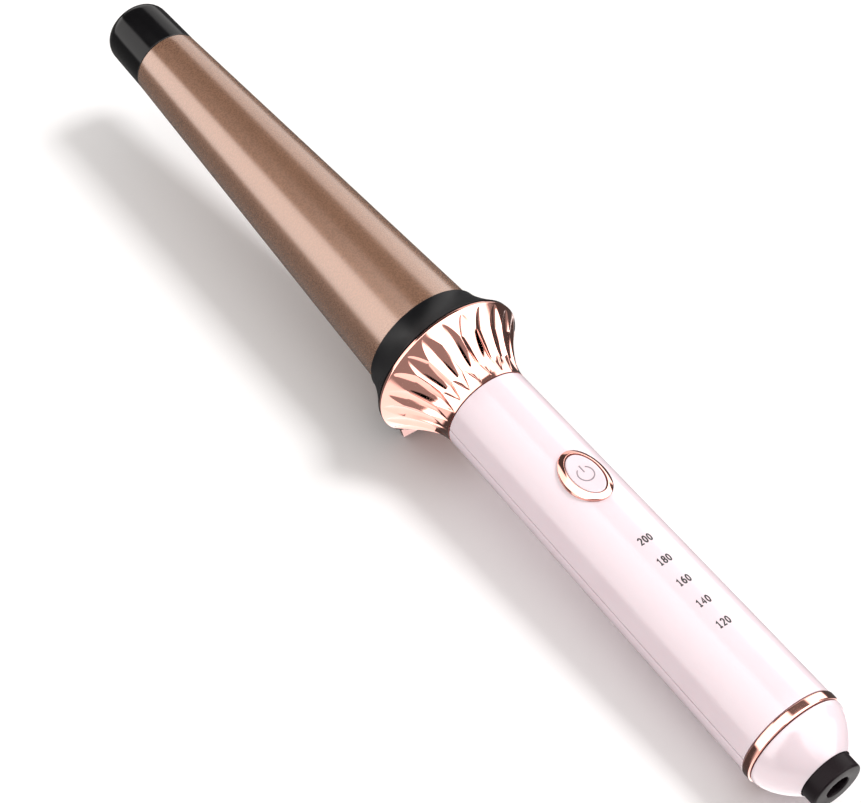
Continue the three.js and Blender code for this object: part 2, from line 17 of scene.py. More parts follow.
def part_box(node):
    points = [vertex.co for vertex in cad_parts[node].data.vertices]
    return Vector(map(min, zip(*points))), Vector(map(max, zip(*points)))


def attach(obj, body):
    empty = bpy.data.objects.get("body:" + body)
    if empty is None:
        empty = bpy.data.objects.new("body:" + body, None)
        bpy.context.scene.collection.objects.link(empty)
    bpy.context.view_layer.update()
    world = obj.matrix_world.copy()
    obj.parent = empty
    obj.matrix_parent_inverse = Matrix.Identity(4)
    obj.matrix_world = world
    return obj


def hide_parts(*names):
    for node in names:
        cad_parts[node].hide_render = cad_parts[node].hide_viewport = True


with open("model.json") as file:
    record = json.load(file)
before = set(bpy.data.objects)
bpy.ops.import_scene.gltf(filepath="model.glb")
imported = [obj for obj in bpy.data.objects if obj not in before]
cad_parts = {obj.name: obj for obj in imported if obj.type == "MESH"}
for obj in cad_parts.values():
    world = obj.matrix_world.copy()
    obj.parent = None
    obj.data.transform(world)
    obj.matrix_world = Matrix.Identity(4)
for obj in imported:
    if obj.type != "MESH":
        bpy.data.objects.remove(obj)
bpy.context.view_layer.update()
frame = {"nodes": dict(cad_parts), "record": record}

# ---------------------------------------------------------------- the wand's own axes

SWIVEL = next(j for j in frame["record"]["behaviour"]["joints"] if j["name"] == "swivel_turn")
SWIVEL_X = 160.0                             # the swivel joint's place along the wand, mm
TAILWARD = Vector(SWIVEL["axis"]).normalized()
ACROSS = Vector((0, 1, 0))
UPWARD = TAILWARD.cross(ACROSS)
ORIGIN = Vector(SWIVEL["pos_m"]) - TAILWARD * SWIVEL_X / 1000
TURN = Matrix((TAILWARD, ACROSS, UPWARD)).transposed()
WAND = Matrix.Translation(ORIGIN) @ TURN.to_4x4() @ Matrix.Scale(0.001, 4)

# ---------------------------------------------------------------- sizes, mm, as in the model

BARREL_TIP = (-158.4, 11.55)
BARREL_BASE = (-17.9, 19.0)
BARREL_END_X = -11.0
BARREL_WALL = 1.0
CAP_END_X = -179.8
RIM_X = -6.9
RIM_R = 25.1
NECK_X = 13.3
NECK_R = 14.3
FLUTES = 22
FLUTE_PHASE = -2.7 / 360 * FLUTES            # the first flute's centre, in flutes from the top
HANDLE_FRONT = (13.6, 14.3)
HANDLE_REAR = (146.9, 15.9)
SEAM = 0.15
GLAND_R = 8.2
GLAND_END_X = 167.6
CORD_HOLE_R = 3.8
BUTTON_X = 56.5
BUTTON_TOP = 16.2
BEZEL_TOP = 16.3
BEZEL_CROWN_R = 40.0
BEZEL = (9.6, 6.8)                           # half length and half width of each oval
BEZEL_OPENING = (7.7, 5.0)
BUTTON_HOLE = (9.2, 6.4)
BUTTON = (7.4, 4.7)
HANDLE_SCREW_X = (34.5, 131.0)
BOARD_SCREW_X = (46.0, 122.0)


def handle_radius(x):
    """The outside radius of the handle at x."""
    share = (x - HANDLE_FRONT[0]) / (HANDLE_REAR[0] - HANDLE_FRONT[0])
    return HANDLE_FRONT[1] + (HANDLE_REAR[1] - HANDLE_FRONT[1]) * share


# ---------------------------------------------------------------- material helpers

MATHS = "ShaderNodeMath"


def hex_colour(code):
    """An sRGB hex colour as linear RGBA."""
    values = [int(code[i : i + 2], 16) / 255 for i in (1, 3, 5)]
    return (*(v / 12.92 if v <= 0.04045 else ((v + 0.055) / 1.055) ** 2.4 for v in values), 1.0)


def node(tree, kind, inputs=(), **settings):
    """Adds one node. Settings are its properties. Inputs map its sockets, or a plain row maps its
    first sockets, to values, outputs or nodes. A node there stands for its first output."""
    made = tree.nodes.new(kind)
    for key, value in settings.items():
        setattr(made, key, value)
    for key, value in inputs.items() if isinstance(inputs, dict) else enumerate(inputs):
        if isinstance(value, bpy.types.Node):
            value = value.outputs[0]
        if isinstance(value, bpy.types.NodeSocket):
            tree.links.new(value, made.inputs[key])
        else:
            made.inputs[key].default_value = value
    return made


def new_material(name, colour, metallic=0.0, roughness=0.4, **more):
    """A material with its shader set up. Returns the material, its tree and its shader."""
    material = bpy.data.materials.new(name)
    material.use_nodes = True
    tree = material.node_tree
    shader = tree.nodes["Principled BSDF"]
    shader.inputs["Base Color"].default_value = hex_colour(colour)
    shader.inputs["Metallic"].default_value = metallic
    shader.inputs["Roughness"].default_value = roughness
    for key, value in more.items():
        shader.inputs[key.replace("_", " ")].default_value = value
    material.diffuse_color = hex_colour(colour)
    return material, tree, shader


def wand_millimetres(tree, stretch=(1, 1, 1)):
    """The shaded point in the wand's own millimetres, scaled along the wand's three axes."""
    place = node(tree, "ShaderNodeTexCoord").outputs["Object"]
    back = TURN.transposed()
    laid = node(tree, "ShaderNodeMapping", {
        "Vector": place,
        "Scale": (1000, 1000, 1000),
        "Rotation": back.to_euler(),
        "Location": -(back @ ORIGIN) * 1000,
    })
    return node(tree, "ShaderNodeMapping", {"Vector": laid, "Scale": stretch}).outputs["Vector"]


def vary_gloss(tree, shader, value, low, high):
    """Varies the roughness between two values. A noise mostly lies between 0.3 and 0.7."""
    rough = node(tree, "ShaderNodeMapRange", {
        "Value": value, "From Min": 0.3, "From Max": 0.7, "To Min": low, "To Max": high,
    })
    tree.links.new(rough.outputs["Result"], shader.inputs["Roughness"])


def mottle(tree, shader, value, dark, light):
    """Varies the base colour between two close tones."""
    mix = node(tree, "ShaderNodeMix", {
        "Factor": value, "A": hex_colour(dark), "B": hex_colour(light),
    }, data_type="RGBA")
    tree.links.new(mix.outputs["Result"], shader.inputs["Base Color"])


def relief(tree, shader, value, depth_mm, strength=1.0):
    """Turns a 0 to 1 value into fine relief of the given depth."""
    bump = node(tree, "ShaderNodeBump", {
        "Height": value, "Distance": depth_mm / 1000, "Strength": strength,
    })
    tree.links.new(bump.outputs["Normal"], shader.inputs["Normal"])


def moulded(name, colour, roughness, grain_mm, grain_depth, tone=None, **more):
    """A moulded plastic: an even texture from the tool, and cloudy gloss where hands have been."""
    material, tree, shader = new_material(name, colour, 0.0, roughness, **more)
    place = wand_millimetres(tree)
    grain = node(tree, "ShaderNodeTexNoise", {
        "Vector": place, "Scale": 1 / grain_mm, "Detail": 3.0, "Roughness": 0.6,
    })
    cloud = node(tree, "ShaderNodeTexNoise", {"Vector": place, "Scale": 0.09, "Detail": 4.0})
    vary_gloss(tree, shader, cloud.outputs["Fac"], roughness * 0.8, roughness * 1.25)
    relief(tree, shader, grain.outputs["Fac"], grain_depth, 0.6)
    if tone:
        mottle(tree, shader, cloud.outputs["Fac"], colour, tone)
    return material


# ---------------------------------------------------------------- materials of the outside


def gloss_black_pps():
    """Glass-filled PPS from a polished tool: deep black, nearly a mirror, with faint ripple."""
    return moulded("gloss_moulded_black_PPS", "#0b0b0c", 0.14, 6.0, 0.03, "#111012",
                   Specular_IOR_Level=0.24)


def satin_black_pps():
    """The same resin from an eroded tool: slate black with a soft sheen and a fine grain."""
    return moulded("eroded_satin_black_PPS", "#0b0b0d", 0.32, 0.35, 0.012, "#111113",
                   Specular_IOR_Level=0.16)


def gland_rubber():
    """Soft-touch elastomer: brown black, dull, with a dusty bloom."""
    return moulded("moulded_black_TPE", "#0c0609", 0.4, 0.4, 0.02, "#130b0f",
                   Specular_IOR_Level=0.08)


def pink_abs():
    """High-gloss ABS, pale pink all through: a clear sheen, and the slight ripple of a moulding."""
    material = moulded("gloss_moulded_pink_ABS", "#f7e3ea", 0.2, 3.5, 0.006, "#f8e7ed",
                       Coat_Weight=0.15, Coat_Roughness=0.1)
    shader = material.node_tree.nodes["Principled BSDF"]
    shader.inputs["Subsurface Weight"].default_value = 0.12
    shader.inputs["Subsurface Radius"].default_value = (0.0015, 0.0009, 0.0009)
    shader.inputs["Subsurface Scale"].default_value = 1.0
    return material


def rose_gold_plate():
    """ABS vacuum plated with rose gold under clear lacquer: a mirror with a white gleam over its
    copper, a breath of haze and hairline wipe marks."""
    material, tree, shader = new_material("vacuum_plated_rose_gold", "#e1a092", 1.0, 0.07,
                                          Coat_Weight=0.8, Coat_Roughness=0.04, Coat_IOR=1.6)
    haze = node(tree, "ShaderNodeTexNoise", {
        "Vector": wand_millimetres(tree), "Scale": 0.35, "Detail": 4.0,
    })
    wipe = node(tree, "ShaderNodeTexNoise", {
        "Vector": wand_millimetres(tree, (0.6, 6.0, 6.0)), "Scale": 1.6, "Detail": 5.0,
    })
    vary_gloss(tree, shader, haze.outputs["Fac"], 0.045, 0.11)
    mottle(tree, shader, haze.outputs["Fac"], "#de9b8d", "#e4a597")
    relief(tree, shader, wipe.outputs["Fac"], 0.0015, 0.5)
    return material


def rose_gold_steel():
    """Stamped steel, plated rose gold: satin, with the rolling lines of the sheet."""
    material, tree, shader = new_material("plated_stamped_steel", "#b8938e", 1.0, 0.28)
    lines = node(tree, "ShaderNodeTexNoise", {
        "Vector": wand_millimetres(tree, (1.0, 0.2, 6.0)), "Scale": 1.2, "Detail": 4.0,
    })
    vary_gloss(tree, shader, lines.outputs["Fac"], 0.2, 0.36)
    mottle(tree, shader, lines.outputs["Fac"], "#ad8884", "#c29d98")
    relief(tree, shader, lines.outputs["Fac"], 0.006, 0.5)
    return material


def ceramic_coat():
    """Sprayed ceramic with metal flake, baked on aluminium: satin bronze with a fine sparkle.
    The flakes are really about 0.05 mm; they are drawn at 0.35 mm, so that they show."""
    material, tree, shader = new_material("sprayed_bronze_ceramic", "#8c644b", 0.4, 0.3,
                                          Coat_Weight=1.0, Coat_Roughness=0.2, Coat_IOR=1.9)
    place = wand_millimetres(tree)
    flake = node(tree, "ShaderNodeTexVoronoi", {"Vector": place, "Scale": 1 / 0.35})
    speck = node(tree, "ShaderNodeSeparateColor", {"Color": flake.outputs["Color"]})
    cloud = node(tree, "ShaderNodeTexNoise", {"Vector": place, "Scale": 0.06, "Detail": 5.0})
    both = node(tree, MATHS, (speck.outputs["Red"], 0.6, cloud.outputs["Fac"]),
                operation="MULTIPLY_ADD")
    mottle(tree, shader, both, "#865f47", "#936a51")
    vary_gloss(tree, shader, speck.outputs["Green"], 0.24, 0.34)
    relief(tree, shader, speck.outputs["Blue"], 0.003, 0.3)
    return material


def printed_ink(name, colour, thin):
    """Pad-printed ink: matt, and a little thinner in places."""
    material, tree, shader = new_material(name, colour, 0.0, 0.55)
    place = wand_millimetres(tree)
    cover = node(tree, "ShaderNodeTexNoise", {"Vector": place, "Scale": 5.0, "Detail": 3.0})
    vary_gloss(tree, shader, cover.outputs["Fac"], 0.45, 0.7)
    mottle(tree, shader, cover.outputs["Fac"], colour, thin)
    relief(tree, shader, cover.outputs["Fac"], 0.01, 0.5)
    return material


# ---------------------------------------------------------------- materials of the inside


def worked_metal(name, dark, light, roughness, stretch, line_mm, depth):
    """A metal whose lines lie the way it was worked: drawn, rolled or turned."""
    material, tree, shader = new_material(name, light, 1.0, roughness)
    lines = node(tree, "ShaderNodeTexNoise", {
        "Vector": wand_millimetres(tree, stretch), "Scale": 1 / line_mm, "Detail": 5.0,
        "Roughness": 0.65,
    })
    vary_gloss(tree, shader, lines.outputs["Fac"], roughness * 0.75, roughness * 1.3)
    mottle(tree, shader, lines.outputs["Fac"], dark, light)
    relief(tree, shader, lines.outputs["Fac"], depth, 0.6)
    return material


def board_laminate():
    """Glass-epoxy board under green solder mask: the weave and the copper tracks show through."""
    material, tree, shader = new_material("masked_glass_epoxy", "#1f5c3c", 0.0, 0.35)
    tracks = node(tree, "ShaderNodeTexBrick", {
        "Vector": wand_millimetres(tree, (1, 1, 0)), "Scale": 0.35, "Mortar Size": 0.05,
        "Color1": hex_colour("#1d5838"), "Color2": hex_colour("#22633f"),
        "Mortar": hex_colour("#3c8a55"),
    })
    weave = node(tree, "ShaderNodeTexWave", {
        "Vector": wand_millimetres(tree), "Scale": 0.8, "Distortion": 1.0,
    })
    tree.links.new(tracks.outputs["Color"], shader.inputs["Base Color"])
    vary_gloss(tree, shader, weave.outputs["Fac"], 0.3, 0.42)
    relief(tree, shader, tracks.outputs["Fac"], 0.03, 0.6)
    return material


def clear_acrylic():
    """Moulded acrylic: water clear, with flow ripple."""
    material, tree, shader = new_material("moulded_clear_acrylic", "#f4f8fa", 0.0, 0.06, IOR=1.49)
    shader.inputs["Transmission Weight"].default_value = 0.9
    ripple = node(tree, "ShaderNodeTexNoise", {"Vector": wand_millimetres(tree), "Scale": 0.6})
    vary_gloss(tree, shader, ripple.outputs["Fac"], 0.04, 0.1)
    relief(tree, shader, ripple.outputs["Fac"], 0.01, 0.4)
    return material


def inside_materials():
    """The finish of each material slot whose nodes keep their own meshes."""
    return {
        "cast_aluminium": worked_metal(
            "extruded_aluminium", "#a9adb0", "#c9ccce", 0.4, (0.1, 1, 1), 0.5, 0.01),
        "steel": worked_metal(
            "zinc_plated_steel", "#8f9499", "#b9bdc2", 0.3, (1, 1, 1), 0.6, 0.006),
        "brass": worked_metal(
            "turned_brass", "#b08c3c", "#d4b05c", 0.25, (6, 1, 1), 0.8, 0.006),
        "capacitor_can": worked_metal(
            "drawn_can_aluminium", "#9ea2a6", "#c2c6c9", 0.3, (0.2, 1, 1), 0.6, 0.004),
        "heater_wrap": moulded(
            "polyimide_film", "#a9601e", 0.25, 0.9, 0.03, "#c37a2c", Coat_Weight=0.4),
        "grey_pps": moulded("moulded_grey_PPS", "#83837f", 0.5, 0.4, 0.02, "#92928d"),
        "chip_epoxy": moulded("moulded_black_epoxy", "#1b1b1d", 0.6, 0.25, 0.02, "#262629"),
        "capacitor_box": moulded("potted_capacitor_box", "#c9912e", 0.35, 0.5, 0.015, "#d7a243"),
        "board_laminate": board_laminate(),
        "clear_acrylic": clear_acrylic(),
        "red_lead": moulded("silicone_red_insulation", "#a8281f", 0.45, 0.5, 0.02, "#b9392c"),
        "blue_lead": moulded("silicone_blue_insulation", "#274d8e", 0.45, 0.5, 0.02, "#335d9f"),
        "white_lead": moulded("PTFE_white_insulation", "#e0ddd6", 0.4, 0.5, 0.02, "#ece9e3"),
        "white_ceramic": moulded("fired_white_ceramic", "#ddd8cb", 0.4, 0.3, 0.02, "#e8e4d9"),
        "ceramic_coat": ceramic_coat(),
        "black_pps": satin_black_pps(),
    }


# ---------------------------------------------------------------- mesh helpers


def signed_volume(verts, faces):
    """Six times the volume inside closed faces, above 0 when they point outwards."""
    total = 0.0
    for face in faces:
        for i in range(1, len(face) - 1):
            a, b, c = verts[face[0]], verts[face[i]], verts[face[i + 1]]
            total += a.dot(b.cross(c))
    return total


def lay(name, verts, faces, materials):
    """A closed mesh in wand millimetres becomes an object in the model's frame."""
    verts = [Vector(v) for v in verts]
    if signed_volume(verts, faces) < 0:
        faces = [tuple(reversed(f)) for f in faces]
    mesh = bpy.data.meshes.new(name)
    mesh.from_pydata([tuple(WAND @ v) for v in verts], [], faces)
    mesh.validate()
    for material in materials:
        mesh.materials.append(material)
    smooth(mesh)
    made = bpy.data.objects.new(name, mesh)
    bpy.context.scene.collection.objects.link(made)
    return made


def smooth(mesh, sharp=32.0):
    """Shades a mesh smooth, but for edges where it turns by more than sharp degrees."""
    mesh.polygons.foreach_set("use_smooth", [True] * len(mesh.polygons))
    mesh.set_sharp_from_angle(angle=math.radians(sharp))
    mesh.update()


def rounded(corners, steps=5):
    """Rounds each (x, r, radius) corner of a closed outline. Returns plain (x, r) points."""
    points = []
    count = len(corners)
    for i, (x, r, radius) in enumerate(corners):
        here = Vector((x, r))
        if radius <= 0:
            points.append(here)
            continue
        before = Vector(corners[i - 1][:2]) - here
        after = Vector(corners[(i + 1) % count][:2]) - here
        half = before.angle(after) / 2
        reach = min(radius / math.tan(half), 0.48 * before.length, 0.48 * after.length)
        start = here + before.normalized() * reach
        end = here + after.normalized() * reach
        for k in range(steps + 1):
            t = k / steps
            points.append(start.lerp(here, t).lerp(here.lerp(end, t), t))
    return [(p.x, p.y) for p in points]


def turn(profile, sides=192, start=0.0, end=360.0, shift=None):
    """Turns a closed (x, r) outline about the wand's axis. Returns vertices and faces.

    An outline point on the axis becomes one vertex. A part turn gets two flat end faces.
    shift(k, stations, x, r) says how far a point moves in at each station, as at a seam.
    """
    whole = abs(end - start - 360.0) < 1e-6
    stations = sides if whole else sides + 1
    verts = []
    rows = []
    for x, r in profile:
        if r < 1e-6:
            verts.append(Vector((x, 0, 0)))
            rows.append([len(verts) - 1] * stations)
            continue
        row = []
        for k in range(stations):
            angle = math.radians(start + (end - start) * k / sides)
            rr = r - (shift(k, stations, x, r) if shift else 0.0)
            verts.append(Vector((x, -rr * math.sin(angle), rr * math.cos(angle))))
            row.append(len(verts) - 1)
        rows.append(row)
    faces = []
    for i, row in enumerate(rows):
        after = rows[(i + 1) % len(rows)]
        for k in range(sides):
            k2 = (k + 1) % stations
            loop = [row[k], row[k2], after[k2], after[k]]
            face = [v for j, v in enumerate(loop) if v != loop[j - 1]]
            if len(set(face)) >= 3:
                faces.append(tuple(face))
    if not whole:
        faces.append(tuple(row[0] for row in rows))
        faces.append(tuple(row[-1] for row in reversed(rows)))
    return verts, faces


def turned(name, profile, materials, sides=192):
    """A closed (x, r) outline, turned all the way round, as an object."""
    return lay(name, *turn(profile, sides), materials)


def along(points, steps):
    """Fills the straight stretches of an open outline with evenly spaced points."""
    filled = []
    for a, b in zip(points, points[1:]):
        for k in range(steps):
            t = k / steps
            filled.append((a[0] + (b[0] - a[0]) * t, a[1] + (b[1] - a[1]) * t))
    return [*filled, points[-1]]


def carve(target, cutter, operation):
    """Cuts a shape out of a piece or joins it on, and takes the shape away."""
    step = target.modifiers.new("carve", "BOOLEAN")
    step.operation = operation
    step.solver = "EXACT"
    step.object = cutter
    graph = bpy.context.evaluated_depsgraph_get()
    fresh = bpy.data.meshes.new_from_object(target.evaluated_get(graph))
    target.modifiers.remove(step)
    fresh.name = target.name
    target.data = fresh
    bpy.data.objects.remove(cutter)
    smooth(fresh)


def oval_post(a, b, x, z0, z1, material, sides=96):
    """An upright oval post or drill at x, in wand millimetres. No corner lies on its mid plane."""
    turns = (2 * math.pi * (k + 0.37) / sides for k in range(sides))
    ring = [(math.cos(t), math.sin(t)) for t in turns]
    verts = [(x + a * c, b * s, z) for z in (z0, z1) for c, s in ring]
    faces = [tuple(range(sides - 1, -1, -1)), tuple(range(sides, 2 * sides))]
    faces += [(k, (k + 1) % sides, sides + (k + 1) % sides, sides + k) for k in range(sides)]
    return lay("post", verts, faces, [material])


def post(radius, x, z0, z1, material, sides=48):
    """An upright round post or drill at x, in wand millimetres."""
    return oval_post(radius, radius, x, z0, z1, material, sides)


def stand_for(piece, *nodes, body="root", slot=None):
    """The piece takes the place of these model nodes and rides on their body."""
    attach(piece, body)
    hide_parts(*nodes)


# ---------------------------------------------------------------- barrel and tip


def make_tip_cap(material):
    """A plug with a round shoulder: an arc joins its nearly flat end to its side."""
    spigot = BARREL_TIP[1] - BARREL_WALL - 0.3
    rear = BARREL_TIP[0] - 0.15
    spigot_end = -150.2
    hollow_x = -173.0
    hollow_r = spigot - 1.8
    arc_x, arc_r, arc_radius = -174.6, 6.2, 4.9
    shoulder = [
        (arc_x + arc_radius * math.cos(t), arc_r + arc_radius * math.sin(t), 0)
        for t in (math.radians(172 - 80 * k / 16) for k in range(17))
    ]
    outline = rounded([
        (CAP_END_X, 0, 0),
        (CAP_END_X + 0.06, 2.4, 0),
        (CAP_END_X + 0.22, 4.8, 3.0),
        *shoulder,
        (-172.0, 11.2, 4.0),
        (rear, BARREL_TIP[1], 0.3),
        (rear, spigot, 0),
        (spigot_end, spigot, 0.3),
        (spigot_end, hollow_r, 0),
        (hollow_x, hollow_r, 1.0),
        (hollow_x, 0, 0),
    ], steps=8)
    piece = turned("tip_cap_moulding", outline, [material])
    stand_for(piece, "tip_cap", slot="black_pps")


def make_barrel(material):
    """The tapered tube, with a short straight end that the collar takes."""
    bore = BARREL_BASE[1] - BARREL_WALL
    outside = along([BARREL_TIP, BARREL_BASE], 40)
    outline = rounded([
        (BARREL_TIP[0], BARREL_TIP[1] - BARREL_WALL, 0),
        (BARREL_TIP[0], BARREL_TIP[1], 0.3),
        *((x, r, 0) for x, r in outside[1:-1]),
        (*BARREL_BASE, 0.4),
        (BARREL_END_X, BARREL_BASE[1], 0.2),
        (BARREL_END_X, bore, 0),
        (BARREL_BASE[0], bore, 0),
    ])
    piece = turned("barrel_tube", outline, [material], sides=224)
    stand_for(piece, "barrel", slot="ceramic_coat")


# ---------------------------------------------------------------- collar, crown and rest plate


def make_collar(material):
    """The flared heat shield and its neck tube, with a flat notch below for the rest plate."""
    web_front, web_back = -10.7, -8.5            # the disc between the flare and the neck tube
    socket_r = 19.3                              # the barrel's end sits in it
    rim_inside_r = 23.7
    tube_end, tube_r, tube_bore = 30.0, 11.9, 9.9
    groove_front, groove_back, groove_r = 20.0, 24.0, 10.9    # the shells' rib sits in it
    front_r = BARREL_BASE[1] + 0.9
    steps = 22
    flare = []
    for k in range(steps + 1):
        t = k / steps
        flare.append((
            BARREL_BASE[0] + (RIM_X - BARREL_BASE[0]) * t,
            front_r + (RIM_R - 0.1 - front_r) * t**1.5,
            0.35 if k in (0, steps) else 0,
        ))
    outline = rounded([
        *flare,
        (RIM_X, rim_inside_r, 0), (web_back, rim_inside_r, 0), (web_back, tube_r, 0),
        (groove_front, tube_r, 0), (groove_front, groove_r, 0), (groove_back, groove_r, 0),
        (groove_back, tube_r, 0), (tube_end, tube_r, 0.3), (tube_end, tube_bore, 0),
        (web_front, tube_bore, 0), (web_front, socket_r, 0), (BARREL_BASE[0], socket_r, 0.15),
    ])
    piece = turned("heat_collar", outline, [material], sides=224)
    low = Vector((web_back, -16.4, -30))
    high = Vector((-5.9, 16.4, -17.2))
    verts = [(x, y, z) for x in (low.x, high.x) for y in (low.y, high.y) for z in (low.z, high.z)]
    faces = [(0, 1, 3, 2), (4, 6, 7, 5), (0, 4, 5, 1), (2, 3, 7, 6), (0, 2, 6, 4), (1, 5, 7, 3)]
    carve(piece, lay("notch", verts, faces, [material]), "DIFFERENCE")
    stand_for(piece, "barrel_collar", slot="black_pps")


FLARE_POWER = 1.7
BEAD_X = -5.6                                # where the crown's bead gives way to the trumpet


def crown_radius(x):
    """The crown's trumpet, before its flutes are cut."""
    share = (x - BEAD_X) / (NECK_X - BEAD_X)
    return NECK_R + (RIM_R - NECK_R) * (1 - share) ** FLARE_POWER


def geometry_tree(name, inputs):
    """Starts a tree with a mesh in, a mesh out and the named inputs. Returns it and its inputs."""
    tree = bpy.data.node_groups.new(name, "GeometryNodeTree")
    tree.is_modifier = True
    face = tree.interface
    face.new_socket("Geometry", in_out="INPUT", socket_type="NodeSocketGeometry")
    face.new_socket("Geometry", in_out="OUTPUT", socket_type="NodeSocketGeometry")
    for label, kind in inputs.items():
        face.new_socket(label, in_out="INPUT", socket_type=f"NodeSocket{kind}")
    return tree, node(tree, "NodeGroupInput").outputs


def fluting_tree():
    """Cuts scallops round a trumpet, where its outside attribute is 1. Lengths are millimetres."""
    tree, given = geometry_tree("cut_flutes", {
        "Flutes": "Int", "Phase": "Float", "Depth": "Float", "Start": "Float", "End": "Float",
        "Opening": "Float", "Closing": "Float", "Plating": "Material",
    })
    add = partial(node, tree)
    place = add("GeometryNodeInputPosition").outputs["Position"]
    parts = add("ShaderNodeSeparateXYZ", {"Vector": place}).outputs

    # How far across its flute a point lies: 0 in the middle, -1 and 1 at the edges.
    angle = add(MATHS, (parts["Y"], parts["Z"]), operation="ARCTAN2")
    share = add(MATHS, (angle, 2 * math.pi), operation="DIVIDE")
    share = add(MATHS, (share, given["Flutes"]), operation="MULTIPLY")
    flute = add(MATHS, (share, given["Phase"]), operation="ADD")
    nearest = add(MATHS, (flute,), operation="ROUND")
    across = add(MATHS, (flute, nearest), operation="SUBTRACT")
    across = add(MATHS, (across, 2.0), operation="MULTIPLY")

    # How wide the flute is here: it opens behind the rim and closes towards the neck.
    rise = add(MATHS, (parts["X"], given["Start"]), operation="SUBTRACT")
    rise = add(MATHS, (rise, given["Opening"]), operation="DIVIDE", use_clamp=True)
    rise = add(MATHS, (rise, 0.6), operation="POWER")
    fall = add(MATHS, (given["End"], parts["X"]), operation="SUBTRACT")
    fall = add(MATHS, (fall, given["Closing"]), operation="DIVIDE", use_clamp=True)
    fall = add(MATHS, (fall, 0.8), operation="POWER")
    width = add(MATHS, (rise, fall), operation="MULTIPLY")

    # A bowl across the flute, cut towards the axis.
    side = add(MATHS, (across, across), operation="MULTIPLY")
    side = add(MATHS, (side, add(MATHS, (width, 0.02), operation="MAXIMUM")), operation="DIVIDE")
    bowl = add(MATHS, (width, side), operation="SUBTRACT")
    bowl = add(MATHS, (bowl, 0.0), operation="MAXIMUM")
    cut = add(MATHS, (bowl, given["Depth"]), operation="MULTIPLY")
    outside = add("GeometryNodeInputNamedAttribute", {"Name": "outside"}, data_type="FLOAT")
    cut = add(MATHS, (cut, outside.outputs["Attribute"]), operation="MULTIPLY")
    sine = add(MATHS, (angle,), operation="SINE")
    cosine = add(MATHS, (angle,), operation="COSINE")
    inward = add("ShaderNodeCombineXYZ", {
        "Y": add(MATHS, (sine, -1.0), operation="MULTIPLY"),
        "Z": add(MATHS, (cosine, -1.0), operation="MULTIPLY"),
    })
    move = add("ShaderNodeVectorMath", {0: inward, "Scale": cut}, operation="SCALE")
    moved = add("GeometryNodeSetPosition", {"Geometry": given["Geometry"], "Offset": move})
    real = add("GeometryNodeRealizeInstances", {"Geometry": moved})
    plated = add("GeometryNodeSetMaterial", {"Geometry": real, "Material": given["Plating"]})
    add("NodeGroupOutput", {"Geometry": plated})
    return tree


def grow(base, tree, values):
    """Runs a geometry tree on an object and leaves its result there as a plain mesh."""
    step = base.modifiers.new("grow", "NODES")
    step.node_group = tree
    for item in tree.interface.items_tree:
        if item.in_out == "INPUT" and item.name in values:
            step[item.identifier] = values[item.name]
    graph = bpy.context.evaluated_depsgraph_get()
    mesh = bpy.data.meshes.new_from_object(base.evaluated_get(graph))
    base.modifiers.remove(step)
    base.data = mesh


def make_crown(material):
    """The fluted trumpet, with a plain bead at its rim."""
    rows = 80
    bead_edge = 0.35
    trumpet = []
    for k in range(rows + 1):
        x = BEAD_X + bead_edge + (NECK_X - BEAD_X - bead_edge) * k / rows
        trumpet.append((x, crown_radius(x)))
    rim_face_x = -6.6
    bead = rounded([
        (rim_face_x, 22.9, 0), (rim_face_x, RIM_R - 0.15, bead_edge), (BEAD_X, RIM_R, 0.4),
        (*trumpet[0], 0),
    ])
    bore = 12.2
    inside = [(NECK_X, bore), (4.6, bore), (1.0, 14.4), (-3.0, 20.0)]
    profile = [*bead[:-1], *trumpet, *inside]
    sides = FLUTES * 26
    verts, faces = turn(profile, sides)
    if signed_volume(verts, faces) < 0:
        faces = [tuple(reversed(f)) for f in faces]
    mesh = bpy.data.meshes.new("crown_casting")
    mesh.from_pydata([tuple(v) for v in verts], [], faces)
    outside = mesh.attributes.new("outside", "FLOAT", "POINT")
    first = (len(bead) - 1) * sides
    last = first + len(trumpet) * sides
    flags = [1.0 if first <= i < last else 0.0 for i in range(len(mesh.vertices))]
    outside.data.foreach_set("value", flags)
    crown = bpy.data.objects.new("crown_casting", mesh)
    bpy.context.scene.collection.objects.link(crown)
    grow(crown, fluting_tree(), {
        "Flutes": FLUTES, "Phase": FLUTE_PHASE, "Depth": 1.2, "Start": -4.9, "End": 12.4,
        "Opening": 4.4, "Closing": 5.5, "Plating": material,
    })
    crown.data.attributes.remove(crown.data.attributes["outside"])
    crown.data.transform(WAND)
    smooth(crown.data, 28.0)
    stand_for(crown, "crown", slot="rose_gold_plate")


